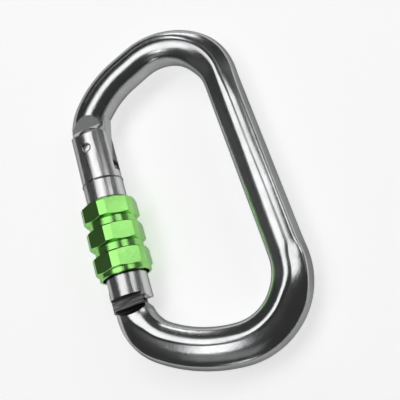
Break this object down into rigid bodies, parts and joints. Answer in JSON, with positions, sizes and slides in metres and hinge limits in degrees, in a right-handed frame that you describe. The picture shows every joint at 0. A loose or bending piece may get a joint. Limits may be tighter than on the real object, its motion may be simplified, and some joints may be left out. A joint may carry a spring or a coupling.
{
  "type": "locking carabiner",
  "caption": "Asymmetric D-shaped aluminium carabiner with a sprung hinged gate, keylock nose and a threaded locking sleeve that screws over the gate's opening.",
  "frame": {"origin": "centre of the closed carabiner's bounding box, on its mid-plane", "axes": "+X from the gate to the spine, +Y along the spine to the hinge end, +Z square to the carabiner's plane"},
  "size_m": [0.0633, 0.1112, 0.018],
  "materials": {
    "frame": "tumbled and polished bare aluminium",
    "gate": "turned and polished bare aluminium",
    "rivet": "peened stainless steel",
    "plunger": "turned stainless steel",
    "spring": "drawn stainless spring wire",
    "ring": "drawn stainless wire",
    "sleeve": "bright green anodised aluminium, turned and milled"
  },
  "bodies": {
    "frame": {"frame_body": "frame"},
    "gate": {"gate_barrel": "gate", "hinge_rivet": "rivet", "gate_spring": "spring"},
    "plunger": {"gate_plunger": "plunger"},
    "ring": {"retaining_ring": "ring"},
    "sleeve": {"locking_sleeve": "sleeve"}
  },
  "joints": [
    {"name": "gate_swing", "type": "hinge", "parent": "frame", "child": "gate", "pos_m": [-0.02167, 0.02422, 0], "axis": [0, 0, 1], "range_deg": [0, 26], "stiffness_Nm_per_rad": 0.3, "springref_deg": -22.92},
    {"name": "plunger_slide", "type": "slide", "parent": "gate", "child": "plunger", "axis": [-0.0314, -0.9995, 0], "range_m": [0, 0.0025], "deforming": ["gate_spring"]},
    {"name": "sleeve_turn", "type": "hinge", "parent": "gate", "child": "ring", "pos_m": [-0.02202, 0.01282, 0], "axis": [-0.0314, -0.9995, 0], "range_deg": [-1080, 1980]},
    {"name": "sleeve_travel", "type": "slide", "parent": "ring", "child": "sleeve", "axis": [-0.0314, -0.9995, 0], "range_m": [-0.0061, 0.0111]}
  ],
  "couplings": [
    {"joint": "plunger_slide", "follows": "gate_swing", "m_per_rad": 0.005289},
    {"joint": "sleeve_travel", "follows": "sleeve_turn", "m_per_rad": 0.00031831}
  ]
}
